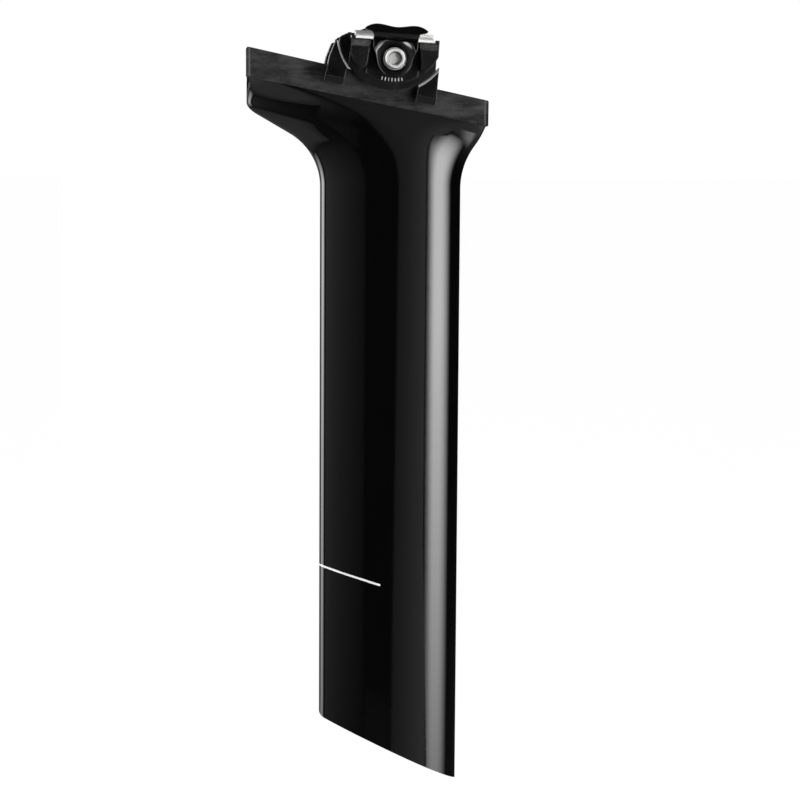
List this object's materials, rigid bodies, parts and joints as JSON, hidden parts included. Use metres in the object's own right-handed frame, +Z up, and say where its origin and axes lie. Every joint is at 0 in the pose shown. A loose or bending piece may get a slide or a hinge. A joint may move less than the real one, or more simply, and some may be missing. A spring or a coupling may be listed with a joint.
{
  "type": "bicycle seatpost",
  "caption": "Aero-section seatpost, hollow and cut at a slant at the foot, with a long sloping rail head and a side-bolted saddle clamp that slides along it and tilts.",
  "frame": {"origin": "middle of the post's chord, level with the insertion line where that meets the trailing edge", "axes": "+X to the bicycle's front, the blunt nose of the section; +Y to the bicycle's left; +Z up along the post"},
  "size_m": [0.1188, 0.0636, 0.381],
  "materials": {
    "carbon_gloss": "clear-coated black carbon fibre, with a matt rail on the head",
    "forged_black": "black anodised forged aluminium",
    "steel": "bright stainless steel"
  },
  "bodies": {
    "post": {"post": "carbon_gloss"},
    "clamp_base": {"jaw_right": "forged_black", "jaw_left": "forged_black"},
    "saddle_carrier": {"cradle_right": "forged_black", "cradle_left": "forged_black", "ear_right": "forged_black", "ear_left": "forged_black", "clamp_bolt": "steel", "washer_right": "steel", "washer_left": "steel", "clamp_nut": "steel"}
  },
  "joints": [
    {"name": "clamp_slide", "type": "slide", "parent": "post", "child": "clamp_base", "axis": [0.978, 0, -0.2088], "range_m": [-0.038, 0.018]},
    {"name": "saddle_tilt", "type": "hinge", "parent": "clamp_base", "child": "saddle_carrier", "pos_m": [0, 0, 0.26478], "axis": [0, 1, 0], "range_deg": [-4, 20]}
  ]
}
